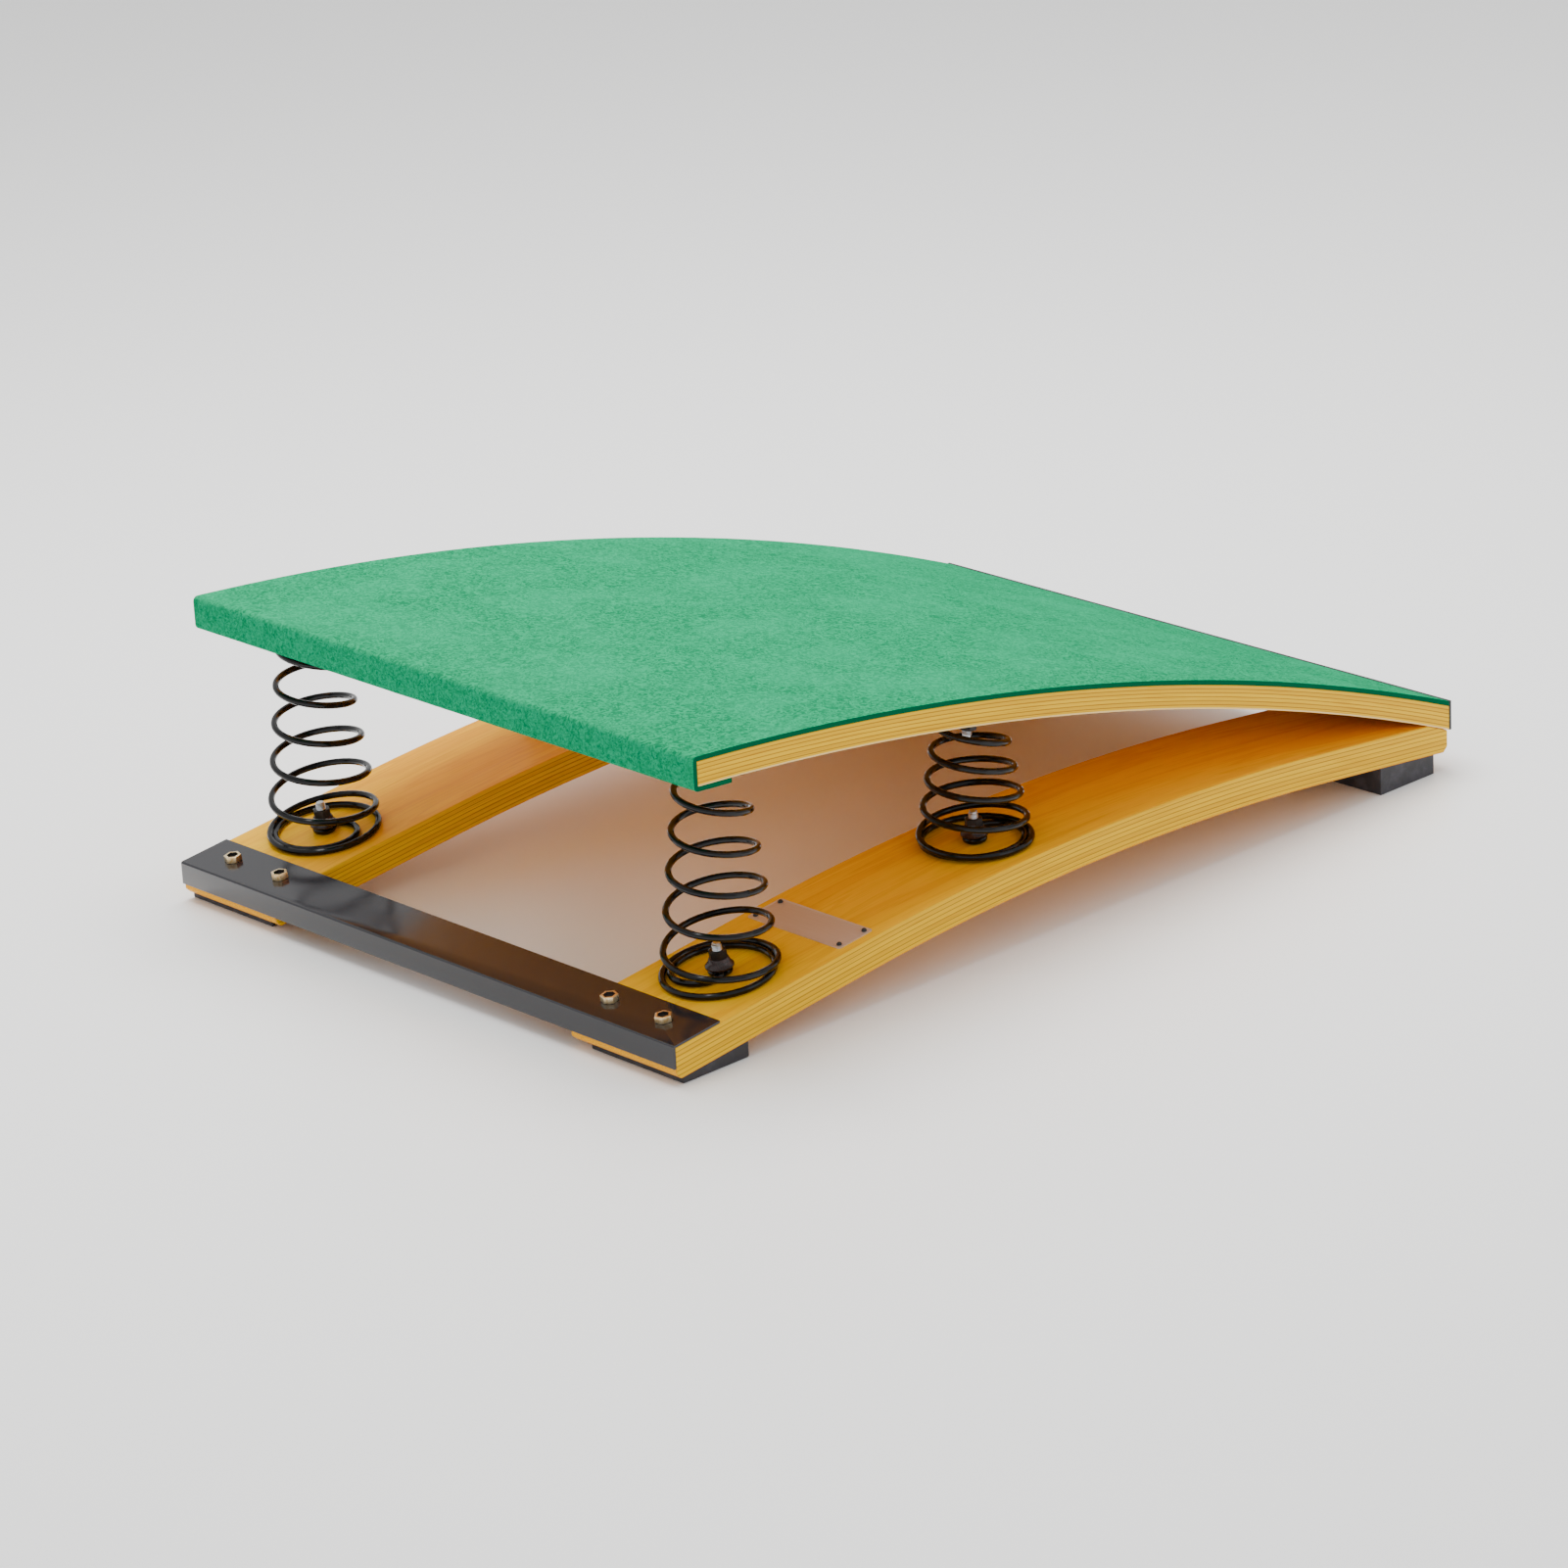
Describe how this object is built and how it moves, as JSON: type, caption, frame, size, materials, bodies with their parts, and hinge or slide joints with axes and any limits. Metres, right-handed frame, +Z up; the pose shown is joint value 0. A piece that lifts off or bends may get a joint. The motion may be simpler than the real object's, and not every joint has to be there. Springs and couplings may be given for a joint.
{
  "type": "gymnastics springboard",
  "caption": "Sprung vaulting board: a carpeted bent plywood deck on conical springs over two bent plywood rails with a steel front tie and rubber feet.",
  "frame": {"origin": "on the floor, under the middle of the board", "axes": "+X from the high sprung front edge to the low hinged rear edge, +Y to the right-hand rail as seen by a gymnast running up the board, +Z up"},
  "size_m": [0.894, 0.6, 0.254],
  "materials": {
    "lacquered_plywood": "yellow-stained laminated beech, gloss lacquer",
    "deck_plywood": "laminated beech deck, cream underside, lacquered edges",
    "green_carpet": "short needle-felt pile",
    "black_enamel_steel": "gloss black enamel",
    "black_spring_steel": "black coated spring wire",
    "yellow_zinc_steel": "yellow-passivated zinc plate",
    "bright_zinc_steel": "clear zinc plate",
    "black_oxide_steel": "blackened steel nuts",
    "black_rubber": "moulded rubber",
    "cup_plastic": "moulded dark nylon",
    "plate_aluminium": "satin aluminium, blank"
  },
  "bodies": {
    "base": {"rail_left": "lacquered_plywood", "rail_right": "lacquered_plywood", "front_foot_left": "black_rubber", "front_foot_right": "black_rubber", "rear_foot_left": "black_rubber", "rear_foot_right": "black_rubber", "foot_screws": "bright_zinc_steel", "front_angle": "black_enamel_steel", "front_angle_bolts": "yellow_zinc_steel", "front_angle_washers": "yellow_zinc_steel", "front_angle_nuts": "yellow_zinc_steel", "rear_joint_bolts": "bright_zinc_steel", "rear_joint_rubber_washers": "black_rubber", "rear_joint_steel_washers": "bright_zinc_steel", "rear_joint_nuts": "bright_zinc_steel", "spring_front_left": "black_spring_steel", "spring_front_right": "black_spring_steel", "spring_middle_left": "black_spring_steel", "spring_middle_right": "black_spring_steel", "spring_base_bolts": "bright_zinc_steel", "spring_base_cups": "cup_plastic", "spring_base_nuts": "black_oxide_steel", "label_plate": "plate_aluminium", "label_plate_pins": "black_enamel_steel"},
    "deck": {"deck_board": "deck_plywood", "carpet": "green_carpet", "rear_edge_strip": "black_enamel_steel", "edge_strip_screws": "bright_zinc_steel", "spring_top_bolts": "bright_zinc_steel", "spring_top_cups": "cup_plastic", "spring_top_nuts": "black_oxide_steel"}
  },
  "joints": [
    {"name": "deck_flex", "type": "hinge", "parent": "base", "child": "deck", "pos_m": [0.417, 0, 0.0451], "axis": [0, -1, 0], "range_deg": [0, 6], "stiffness_Nm_per_rad": 9200, "springref_deg": -0.34, "deforming": ["spring_front_left", "spring_front_right", "spring_middle_left", "spring_middle_right", "rear_joint_rubber_washers"]}
  ]
}
